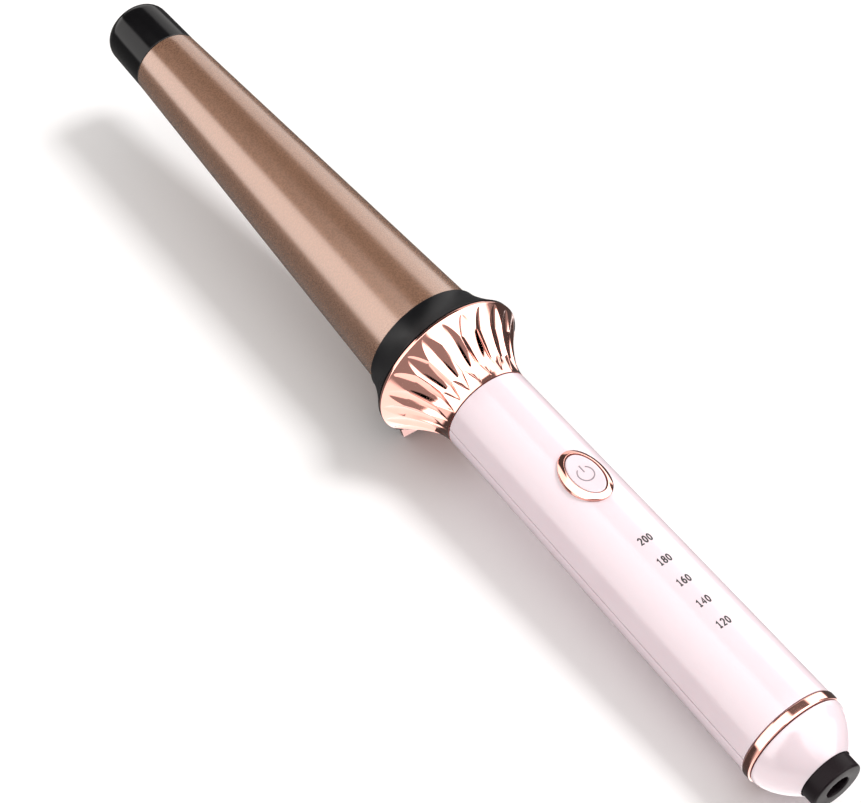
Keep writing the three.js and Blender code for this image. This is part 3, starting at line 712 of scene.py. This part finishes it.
def make_rest_plate(material):
    """A washer with a foot: its lower edge is cut straight, to lie flat on the table."""
    thick = 1.3
    ring_r = 23.4
    hole_r = 18.6
    foot_z, foot_half, shoulder_z, shoulder_half = -26.2, 13.1, -20.2, 15.1
    meet = math.degrees(math.acos(shoulder_half / ring_r))
    outline = [(-foot_half, foot_z), (foot_half, foot_z), (shoulder_half, shoulder_z)]
    steps = 120
    for k in range(steps + 1):
        angle = math.radians(-meet + (180 + 2 * meet) * k / steps)
        outline.append((ring_r * math.cos(angle), ring_r * math.sin(angle)))
    outline.append((-shoulder_half, shoulder_z))
    tilt = math.asin(-TAILWARD.z)
    count = len(outline)
    verts = []
    for x in (RIM_X - thick, RIM_X):
        for y, z in outline:
            drop = (x - RIM_X) * math.tan(tilt) if z == foot_z else 0.0
            verts.append((x, y, z + drop))
        for y, z in outline:
            angle = math.atan2(z, y)
            verts.append((x, hole_r * math.cos(angle), hole_r * math.sin(angle)))
    faces = []
    for i in range(count):
        j = (i + 1) % count
        faces.append((i, j, count + j, count + i))
        faces.append((2 * count + j, 2 * count + i, 3 * count + i, 3 * count + j))
        faces.append((j, i, 2 * count + i, 2 * count + j))
        faces.append((count + i, count + j, 3 * count + j, 3 * count + i))
    piece = lay("rest_plate_stamping", verts, faces, [material])
    stand_for(piece, "rest_plate", slot="rose_gold_steel")


# ---------------------------------------------------------------- handle


def seam_softening(k, stations, x, r):
    """How far the outer skin sinks at the two seam edges, so that the edges are rounded."""
    if r < handle_radius(x) - 1.0:
        return 0.0
    nearest = min(k, stations - 1 - k)
    return {0: 0.22, 1: 0.02}.get(nearest, 0.0)


def half_shell(name, start, end, material):
    """Half of the handle's tube. One rib inside grips the collar, the other the end cap."""
    front, rear = 12.2, 13.5                     # inside radii
    rib_front, rib_back, rib_r = 20.4, 23.6, 11.2
    cap_rib_front, cap_rib_back, cap_rib_r = 143.5, 145.1, 12.6

    def inner(x):
        return front + (rear - front) * (x - HANDLE_FRONT[0]) / (HANDLE_REAR[0] - HANDLE_FRONT[0])

    skin = along([HANDLE_FRONT, HANDLE_REAR], 16)
    outline = rounded([
        (*HANDLE_FRONT, 0.35), *((x, r, 0) for x, r in skin[1:-1]), (*HANDLE_REAR, 0.25),
        (HANDLE_REAR[0], rear, 0), (cap_rib_back, inner(cap_rib_back), 0),
        (cap_rib_back, cap_rib_r, 0), (cap_rib_front, cap_rib_r, 0),
        (cap_rib_front, inner(cap_rib_front), 0),
        (rib_back, inner(rib_back), 0), (rib_back, rib_r, 0), (rib_front, rib_r, 0),
        (rib_front, inner(rib_front), 0), (HANDLE_FRONT[0], front, 0),
    ])
    margin = math.degrees(SEAM / HANDLE_REAR[1])
    verts, faces = turn(outline, 128, start + margin, end - margin, seam_softening)
    return lay(name, verts, faces, [material])


def make_upper_shell(material):
    """The shell with the button's hole, and a blind boss for each handle screw."""
    boss_r, drill_r = 3.0, 1.5
    shell = half_shell("upper_shell_moulding", -90, 90, material)
    carve(shell, oval_post(*BUTTON_HOLE, BUTTON_X, 8, 20, material), "DIFFERENCE")
    for x in HANDLE_SCREW_X:
        carve(shell, post(boss_r, x, 0.4, handle_radius(x) - 1.0, material), "UNION")
        carve(shell, post(drill_r, x, -0.5, 8.5, material), "DIFFERENCE")
    stand_for(shell, "handle_shell_upper", slot="pink_abs")


def make_lower_shell(material):
    """The shell with a sunk boss for each handle screw, and a post for each board screw."""
    boss_r, drill_r, head_hole_r = 3.6, 1.5, 2.7
    shell = half_shell("lower_shell_moulding", 90, 270, material)
    for x in HANDLE_SCREW_X:
        carve(shell, post(boss_r, x, 1.0 - handle_radius(x), -SEAM, material), "UNION")
        carve(shell, post(drill_r, x, -16, 4, material), "DIFFERENCE")
        carve(shell, post(head_hole_r, x, -18.2, -6.2, material), "DIFFERENCE")
    board_post_r, board_drill_r, board_z = 2.3, 1.2, 1.1
    for x in BOARD_SCREW_X:
        carve(shell, post(board_post_r, x, 1.0 - handle_radius(x), board_z, material), "UNION")
        carve(shell, post(board_drill_r, x, -5.5, 2.5, material), "DIFFERENCE")
    stand_for(shell, "handle_shell_lower", slot="pink_abs")


def make_tail_ring(material):
    front, rear, bore, outside = 147.2, 150.2, 13.6, 16.2
    outline = rounded([
        (front, bore, 0), (front, outside, 0.5), (rear, outside, 0.5), (rear, bore, 0),
    ])
    piece = turned("tail_ring_band", outline, [material])
    stand_for(piece, "tail_trim_ring", slot="rose_gold_plate")


def make_end_cap(material):
    """The domed end, with a grooved spigot inside the shells and a hole for the gland."""
    dome_front, dome_back, dome_r = 150.5, 162.7, 15.85
    hole_r = GLAND_R + 0.3
    steps = 24
    dome = []
    for k in range(steps + 1):
        t = k / steps
        x = dome_front + (dome_back - dome_front) * t
        r = dome_r - (dome_r - GLAND_R - 0.3) * t**1.75
        dome.append((x, r, 0.25 if k in (0, steps) else 0))
    front, hollow_back = 141.5, 157.0
    spigot_r, hollow_r = 13.1, 11.3
    groove_front, groove_back, groove_r = 143.2, 145.4, 12.3
    outline = rounded([
        (front, spigot_r, 0.2), (groove_front, spigot_r, 0), (groove_front, groove_r, 0),
        (groove_back, groove_r, 0), (groove_back, spigot_r, 0), (dome_front, spigot_r, 0), *dome,
        (hollow_back, hole_r, 0), (hollow_back, hollow_r, 0), (front, hollow_r, 0),
    ])
    piece = turned("end_cap_moulding", outline, [material])
    stand_for(piece, "end_cap", slot="pink_abs")


def make_swivel(material):
    """The cord gland: a flange holds it in the end cap, and its tube carries the slip rings."""
    front, tube_r = 138.5, 5.4
    flange_front, flange_back, flange_r = 153.4, 156.7, 11.0
    outline = rounded([
        (front, tube_r, 0.2), (flange_front, tube_r, 0), (flange_front, flange_r, 0.2),
        (flange_back, flange_r, 0.2), (flange_back, GLAND_R, 0), (GLAND_END_X, GLAND_R, 0.7),
        (GLAND_END_X, CORD_HOLE_R, 0.5), (front, CORD_HOLE_R, 0),
    ])
    piece = turned("swivel_gland", outline, [material], sides=128)
    stand_for(piece, "swivel_body", body="cord_swivel", slot="black_pps")


# ---------------------------------------------------------------- button


def crown_drop(y):
    """How far a surface that follows the bezel's cross curve falls at y."""
    return BEZEL_CROWN_R - math.sqrt(BEZEL_CROWN_R**2 - y * y)


def oval_turn(outline, a, b, sides=128):
    """Turns a closed outline of (inset, height, seat) points round an oval over the handle.

    inset is measured in from the oval's edge. Seat 0 measures the height from the bezel's crown,
    seat 1 from the handle's skin, a seat between them from in between, and seat 2 from the axis.
    """
    verts = []
    rows = []
    for inset, height, seat in outline:
        row = []
        centre = inset >= b - 1e-6
        for k in range(1 if centre else sides):
            t = 2 * math.pi * k / sides
            x = BUTTON_X + (0 if centre else (a - inset) * math.cos(t))
            y = 0 if centre else (b - inset) * math.sin(t)
            skin = math.sqrt(handle_radius(x) ** 2 - y * y)
            crown = BEZEL_TOP - crown_drop(y)
            base = 0.0 if seat == 2 else crown + (skin - crown) * seat
            verts.append(Vector((x, y, base + height)))
            row.append(len(verts) - 1)
        rows.append(row * sides if centre else row)
    faces = []
    for i, row in enumerate(rows):
        after = rows[(i + 1) % len(rows)]
        for k in range(sides):
            loop = [row[k], row[(k + 1) % sides], after[(k + 1) % sides], after[k]]
            face = [v for j, v in enumerate(loop) if v != loop[j - 1]]
            if len(set(face)) >= 3:
                faces.append(tuple(face))
    return verts, faces


def make_bezel(material):
    """The oval ring round the button: a low wall, and a face that falls towards it."""
    clear = 0.3                                  # between the spigot and the shell's hole
    spigot_z = 10.6
    width = BEZEL[1] - BEZEL_OPENING[1]
    spigot = BEZEL[1] - BUTTON_HOLE[1] + clear
    face = []
    for k in range(15):
        t = k / 14
        face.append((0.1 + (width - 0.18) * t, 0.25 * (1 - t), 0.55 * (1 - t) ** 1.2))
    outline = [
        (0.0, 0.03, 1), (0.0, 0.12, 0.55), *face, (width - 0.02, -0.03, 0), (width, -0.12, 0),
        (width, spigot_z, 2), (spigot, spigot_z, 2), (spigot, 0.03, 1),
    ]
    verts, faces = oval_turn(outline, *BEZEL)
    piece = lay("button_bezel", verts, faces, [material])
    stand_for(piece, "button_trim_ring", slot="rose_gold_plate")


def make_button(material, ink):
    """The button cap, dished a little, with a flange that the bezel holds down."""
    a, b = BUTTON
    below = BUTTON_TOP - BEZEL_TOP
    edge_r = 0.4
    dish = 0.25
    foot_z, under_z, flange_z = 8.2, 9.0, 10.2
    foot = 2.2                                   # half the width of the foot on the plunger
    flange = -1.0                                # an inset below 0 lies outside the oval

    def sunk(inset):
        share = min(1.0, max(0.0, (inset - edge_r) / (b - edge_r)))
        return below - dish * math.sin(math.pi / 2 * share)

    edge = [(edge_r * (1 - math.cos(t)), below - edge_r * (1 - math.sin(t)), 0)
            for t in (math.pi / 2 * k / 8 for k in range(9))]
    top = [(edge_r + (b - edge_r) * k / 10, sunk(edge_r + (b - edge_r) * k / 10), 0)
           for k in range(1, 11)]
    outline = [
        (b, foot_z, 2), (b - foot, foot_z, 2), (b - foot, under_z, 2), (flange, under_z, 2),
        (flange, flange_z, 2), (0.0, flange_z, 2), *edge, *top,
    ]
    verts, faces = oval_turn(outline, a, b)
    piece = lay("button_cap", verts, faces, [material])
    stand_for(piece, "power_button", body="power_button", slot="pink_abs")

    def on_button(x, y):
        inset = b - b * math.hypot((x - BUTTON_X) / a, y / b)
        return BEZEL_TOP - crown_drop(y) + sunk(inset)

    make_power_symbol(ink, on_button)


# ---------------------------------------------------------------- printed marks


def arc(centre, radii, start, end, steps=20):
    """Points of an elliptical arc, angles in degrees."""
    points = []
    for k in range(steps + 1):
        t = math.radians(start + (end - start) * k / steps)
        points.append((centre[0] + radii[0] * math.cos(t), centre[1] + radii[1] * math.sin(t)))
    return points


# The strokes of each digit, in a box 0.56 wide and 1 tall.
DIGITS = {
    "0": [arc((0.28, 0.5), (0.24, 0.46), 90, 450, 36)],
    "1": [[(0.08, 0.74), (0.3, 0.96), (0.3, 0.04)], [(0.08, 0.04), (0.52, 0.04)]],
    "2": [[*arc((0.28, 0.7), (0.22, 0.26), 165, -25), (0.06, 0.04), (0.53, 0.04)]],
    "4": [[(0.4, 0.04), (0.4, 0.96), (0.04, 0.32), (0.55, 0.32)]],
    "6": [arc((0.28, 0.32), (0.23, 0.28), 90, 450, 30),
          arc((0.5, 0.4), (0.45, 0.56), 95, 182, 16)],
    "8": [arc((0.28, 0.27), (0.24, 0.24), 90, 450, 30),
          arc((0.28, 0.73), (0.2, 0.23), -90, 270, 30)],
}


def ribbon(points, width, surface, depth=0.06):
    """A flat stroke along 2-D points, laid on a surface that turns (u, v, lift) into a place."""
    count = len(points)
    ring = (Vector(points[0]) - Vector(points[-1])).length < 1e-6
    sides = []
    for i, point in enumerate(points):
        before = Vector(points[i - 1] if i else (points[-2] if ring else points[0]))
        after = Vector(points[i + 1] if i < count - 1 else (points[1] if ring else points[-1]))
        into = Vector(point) - before
        out = after - Vector(point)
        if into.length < 1e-9:
            into = out
        if out.length < 1e-9:
            out = into
        way = (into.normalized() + out.normalized()).normalized()
        reach = min(1.6, 1 / max(0.4, way.dot(out.normalized())))    # a mitre, kept short
        normal = Vector((-way.y, way.x)) * width / 2 * reach
        sides.append((Vector(point) + normal, Vector(point) - normal))
    verts = []
    for left, right in sides:
        for side in (left, right):
            verts.append(surface(side.x, side.y, depth / 2))
            verts.append(surface(side.x, side.y, -depth / 2))
    faces = []
    for i in range(count - 1):
        a = 4 * i
        b = a + 4
        faces += [
            (a, a + 2, b + 2, b), (a + 1, b + 1, b + 3, a + 3),
            (a, b, b + 1, a + 1), (a + 2, a + 3, b + 3, b + 2),
        ]
    last = 4 * (count - 1)
    faces += [(0, 1, 3, 2), (last, last + 2, last + 3, last + 1)]
    if signed_volume(verts, faces) < 0:
        faces = [tuple(reversed(face)) for face in faces]
    return verts, faces


def joined(parts):
    """Several vertex and face lists as one."""
    verts = []
    faces = []
    for more_verts, more_faces in parts:
        start = len(verts)
        verts += more_verts
        faces += [tuple(start + v for v in face) for face in more_faces]
    return verts, faces


def make_numbers(ink):
    """The five temperatures, printed across the handle over their lamps, tops to the tip."""
    to_wand = WAND.inverted()
    tall, pitch, stroke, shrink = 2.4, 1.58, 0.46, 0.8
    for i, text in enumerate(("200", "180", "160", "140", "120")):
        low, high = (Vector(corner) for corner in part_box(f"led_{i + 1}"))
        centre_x = (to_wand @ ((low + high) / 2)).x

        def on_handle(u, v, lift):
            x = centre_x - v
            radius = handle_radius(x) + lift
            angle = u / handle_radius(x)
            return Vector((x, radius * math.sin(angle), radius * math.cos(angle)))

        parts = []
        for place, digit in enumerate(text):
            left = (place - 1) * pitch - 0.28 * tall * shrink
            for stroke_points in DIGITS[digit]:
                points = [(left + u * tall * shrink, (v - 0.5) * tall) for u, v in stroke_points]
                parts.append(ribbon(points, stroke, on_handle))
        piece = lay(f"number_{text}", *joined(parts), [ink])
        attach(piece, "root")


def make_power_symbol(ink, height_at):
    """A broken circle with a bar in its gap, the gap towards the tip."""
    middle, stroke, half_gap = 2.5, 0.38, 32

    def on_cap(u, v, lift):
        return Vector((BUTTON_X + u, v, height_at(BUTTON_X + u, v) + lift))

    circle = arc((0, 0), (middle, middle), 180 + half_gap, 540 - half_gap, 60)
    bar = [(-3.2 + 2.6 * k / 8, 0) for k in range(9)]
    parts = [ribbon(circle, stroke, on_cap), ribbon(bar, stroke, on_cap)]
    piece = lay("power_mark", *joined(parts), [ink])
    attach(piece, "power_button")


# ---------------------------------------------------------------- screws


def screw_tree():
    """Sets a pan-head screw with a cross recess on every point, the way its aim looks."""
    tree, given = geometry_tree("set_screws", {
        "Head Radius": "Float", "Head Height": "Float", "Shank Radius": "Float",
        "Shank Length": "Float", "Metal": "Material",
    })
    add = partial(node, tree)

    def lifted(mesh, length, share):
        """The mesh, moved up by a share of a length."""
        z = add(MATHS, (length, share), operation="MULTIPLY")
        return add("GeometryNodeTransform", {
            "Geometry": mesh, "Translation": add("ShaderNodeCombineXYZ", {"Z": z}),
        })

    head = add("GeometryNodeMeshCone", {
        "Vertices": 40, "Radius Bottom": given["Head Radius"], "Depth": given["Head Height"],
        "Radius Top": add(MATHS, (given["Head Radius"], 0.72), operation="MULTIPLY"),
    })
    shank = add("GeometryNodeMeshCylinder", {
        "Vertices": 24, "Radius": given["Shank Radius"],
        "Depth": add(MATHS, (given["Shank Length"], 0.1), operation="ADD"),
    })
    body = add("GeometryNodeMeshBoolean", operation="UNION", solver="EXACT")
    for part, length in ((head, given["Head Height"]), (shank, given["Shank Length"])):
        tree.links.new(lifted(part, length, -0.5).outputs["Geometry"], body.inputs["Mesh 2"])
    cut = add("GeometryNodeMeshBoolean", {"Mesh 1": body}, operation="DIFFERENCE", solver="EXACT")
    long = add(MATHS, (given["Head Radius"], 1.1), operation="MULTIPLY")
    thin = add(MATHS, (given["Head Radius"], 0.24), operation="MULTIPLY")
    for length, width in ((long, thin), (thin, long)):
        size = add("ShaderNodeCombineXYZ", {"X": length, "Y": width, "Z": given["Head Height"]})
        bar = lifted(add("GeometryNodeMeshCube", {"Size": size}), given["Head Height"], 0.5)
        tree.links.new(bar.outputs["Geometry"], cut.inputs["Mesh 2"])
    aim = add("GeometryNodeInputNamedAttribute", {"Name": "aim"}, data_type="FLOAT_VECTOR")
    placed = add("GeometryNodeInstanceOnPoints", {
        "Points": given["Geometry"], "Instance": cut,
        "Rotation": add("FunctionNodeAlignRotationToVector", {
            "Vector": aim.outputs["Attribute"],
        }, axis="Z"),
    })
    real = add("GeometryNodeRealizeInstances", {"Geometry": placed})
    shown = add("GeometryNodeSetMaterial", {"Geometry": real, "Material": given["Metal"]})
    add("NodeGroupOutput", {"Geometry": shown})
    return tree


def make_screws(metal):
    """Each kind of screw: where its head sits, which way it looks, and its sizes."""
    tree = screw_tree()
    collar_points = []
    for degrees in (90, 210, 330):
        turn_angle = math.radians(degrees)
        collar_points.append((-7.6, -15.4 * math.sin(turn_angle), 15.4 * math.cos(turn_angle)))
    kinds = [
        ("handle_screws", [(x, 0, -7.3) for x in HANDLE_SCREW_X], (0, 0, -1),
         (2.4, 1.6, 1.2, 13.5), ("handle_screw_front", "handle_screw_rear")),
        ("board_screws", [(x, 0, 3.9) for x in BOARD_SCREW_X], (0, 0, 1),
         (1.9, 1.2, 0.9, 8.0), ("board_screw_front", "board_screw_rear")),
        ("collar_screws", collar_points, (1, 0, 0),
         (2.4, 1.4, 1.2, 6.2), ("collar_screw_1", "collar_screw_2", "collar_screw_3")),
    ]
    for name, points, aim, sizes, nodes in kinds:
        mesh = bpy.data.meshes.new(name)
        mesh.from_pydata([tuple(p) for p in points], [], [])
        aims = mesh.attributes.new("aim", "FLOAT_VECTOR", "POINT")
        aims.data.foreach_set("vector", [value for _ in points for value in aim])
        piece = bpy.data.objects.new(name, mesh)
        bpy.context.scene.collection.objects.link(piece)
        head_r, head_h, shank_r, shank_length = sizes
        grow(piece, tree, {
            "Head Radius": head_r, "Head Height": head_h, "Shank Radius": shank_r,
            "Shank Length": shank_length, "Metal": metal,
        })
        piece.data.transform(WAND)
        smooth(piece.data, 30.0)
        stand_for(piece, *nodes, slot="steel")


# ---------------------------------------------------------------- stage


FILL_LOW = 0.35                              # soft light from the horizon
FILL_HIGH = 0.95                             # soft light from overhead
PANEL_SURROUND = 0.1                         # what a mirror sees beside the panels
PANELS = (                                   # lowest and highest x, then roll in degrees, level
    (-1.2, -0.49, 38, 93, 2.5),
    (-1.2, -0.49, 93, 190, 0.12),
    (-1.2, -0.49, -92, -42, 1.15),
    (-0.49, -0.12, 2, 93, 3.2),
    (-0.49, -0.12, -42, 2, 0.14),
    (-0.49, -0.12, -92, -42, 3.2),
    (-0.12, 0.34, -64, 93, 5.5),
    (-0.25, 1.2, 118, 190, 1.9),
    (-0.25, 1.2, -190, -128, 1.9),
    (-0.25, 0.45, 93, 118, 1.5),
    (0.34, 0.94, -84, 20, 4.4),
    (0.94, 1.2, -84, 20, 0.5),
    (0.34, 1.2, 20, 118, 0.35),
    (0.34, 1.2, -128, -84, 0.35),
)


def make_floor():
    """A white studio floor with a faint tooth."""
    material, tree, shader = new_material("matt_white_floor", "#fbfafa", 0.0, 0.6)
    place = node(tree, "ShaderNodeTexCoord").outputs["Object"]
    tooth = node(tree, "ShaderNodeTexNoise", {"Vector": place, "Scale": 900.0, "Detail": 2.0})
    relief(tree, shader, tooth.outputs["Fac"], 0.02, 0.2)
    shader.inputs["Specular IOR Level"].default_value = 0.1
    half = 3.0
    mesh = bpy.data.meshes.new("floor")
    mesh.from_pydata([(-half, -half, 0), (half, -half, 0), (half, half, 0), (-half, half, 0)],
                     [], [(0, 1, 2, 3)])
    mesh.materials.append(material)
    floor = bpy.data.objects.new("floor", mesh)
    floor.location.z = -0.0002                   # a hair below the wand's lowest points
    floor.visible_glossy = False
    bpy.context.scene.collection.objects.link(floor)


def softbox(name, towards, distance, size, power):
    """A square soft light in the given direction from the wand, facing it."""
    light = bpy.data.lights.new(name, "AREA")
    light.size = size
    light.energy = power
    lamp = bpy.data.objects.new(name, light)
    direction = Vector(towards).normalized()
    lamp.location = direction * distance
    lamp.rotation_euler = direction.to_track_quat("Z", "Y").to_euler()
    lamp.visible_camera = False
    lamp.visible_glossy = False
    bpy.context.scene.collection.objects.link(lamp)


def make_world():
    """A plain pale studio. Shiny surfaces see its panels instead: each covers a stretch along the
    room and a range of roll about it, in degrees from straight up. The space round the camera is
    dark to them."""
    world = bpy.data.worlds.new("studio")
    bpy.context.scene.world = world
    world.use_nodes = True
    world.cycles.sampling_method = "NONE"
    tree = world.node_tree
    add = partial(node, tree)
    way = add("ShaderNodeTexCoord").outputs["Generated"]
    parts = add("ShaderNodeSeparateXYZ", {"Vector": way}).outputs

    def between(value, low, high, soft):
        """1 from low to high and 0 outside them, with soft ends."""
        ends = [
            add("ShaderNodeMapRange", {
                "Value": value, "From Min": end - inwards, "From Max": end + inwards,
            }, interpolation_type="SMOOTHSTEP")
            for end, inwards in ((low, soft), (high, -soft))
        ]
        return add(MATHS, ends, operation="MULTIPLY")

    sideways = add(MATHS, (parts["Y"], -1.0), operation="MULTIPLY")
    roll = add(MATHS, (sideways, parts["Z"]), operation="ARCTAN2")
    roll = add(MATHS, (roll, 180 / math.pi), operation="MULTIPLY")
    total = PANEL_SURROUND
    for low_x, high_x, low_roll, high_roll, level in PANELS:
        shape = add(MATHS, (
            between(parts["X"], low_x, high_x, 0.05), between(roll, low_roll, high_roll, 4.0),
        ), operation="MULTIPLY")
        total = add(MATHS, (shape, level, total), operation="MULTIPLY_ADD")
    towards = add("ShaderNodeVectorMath", {
        0: way, 1: (WAND @ CAMERA_PLACE - WAND @ CAMERA_AIM).normalized(),
    }, operation="DOT_PRODUCT").outputs["Value"]
    beside = add("ShaderNodeMapRange", {
        "Value": towards, "From Min": math.cos(math.radians(11)),
        "From Max": math.cos(math.radians(17)),
    }, interpolation_type="SMOOTHSTEP")
    total = add(MATHS, (total, beside), operation="MULTIPLY")
    sky = add("ShaderNodeMapRange", {
        "Value": parts["Z"], "From Min": -0.2, "From Max": 1.0, "To Min": FILL_LOW,
        "To Max": FILL_HIGH,
    })
    seen = add("ShaderNodeLightPath").outputs
    plain = add("ShaderNodeMix", {"Factor": seen["Is Camera Ray"], "A": sky, "B": 1.0})

    # The panels show in shiny surfaces, but their gleam isn't thrown on to the floor.
    direct = add(MATHS, (seen["Diffuse Depth"], 0.5), operation="LESS_THAN")
    mixed = add("ShaderNodeMix", {
        "Factor": add(MATHS, (seen["Is Glossy Ray"], direct), operation="MULTIPLY"),
        "A": plain.outputs["Result"], "B": total,
    })
    tree.links.new(mixed.outputs["Result"], tree.nodes["Background"].inputs["Strength"])
    tree.nodes["Background"].inputs["Color"].default_value = hex_colour("#fffcfa")


CAMERA_PLACE = Vector((351.75, -336.9, 583.5))   # wand millimetres
CAMERA_AIM = Vector((-0.9, -9.8, -4.9))
CAMERA_ROLL = 4.07                               # degrees, right side up
CAMERA_LENS = 106.8                              # on a 36 mm wide sensor


def make_camera():
    place = WAND @ CAMERA_PLACE
    aim = WAND @ CAMERA_AIM
    camera = bpy.data.cameras.new("camera")
    camera.lens = CAMERA_LENS
    camera.sensor_width = 36.0
    camera.clip_start = 0.01
    holder = bpy.data.objects.new("camera", camera)
    level = (aim - place).to_track_quat("-Z", "Y").to_matrix().to_4x4()
    roll = Matrix.Rotation(math.radians(CAMERA_ROLL), 4, "Z")
    holder.matrix_world = Matrix.Translation(place) @ level @ roll
    bpy.context.scene.collection.objects.link(holder)
    bpy.context.scene.camera = holder


# ---------------------------------------------------------------- put it together

plating = rose_gold_plate()
pink = pink_abs()
inside = inside_materials()

make_tip_cap(gloss_black_pps())
make_barrel(inside["ceramic_coat"])
make_collar(inside["black_pps"])
make_crown(plating)
make_rest_plate(rose_gold_steel())
make_upper_shell(pink)
make_lower_shell(pink)
make_tail_ring(plating)
make_end_cap(pink)
make_swivel(gland_rubber())
make_bezel(plating)
make_button(pink, printed_ink("grey_pad_print", "#8a8087", "#968c92"))
make_numbers(printed_ink("dark_pad_print", "#151113", "#241f21"))
make_screws(inside["steel"])

for name, item in frame["nodes"].items():
    wanted = next(s["material_slot"] for s in frame["record"]["subparts"] if s["node"] == name)
    if wanted in inside and not item.hide_render:
        item.data.materials.clear()
        item.data.materials.append(inside[wanted])

make_floor()
make_world()
softbox("key", (0.11, 0.46, 0.88), 3.0, 0.8, 44.5)
make_camera()
bpy.context.scene.view_settings.view_transform = "Standard"
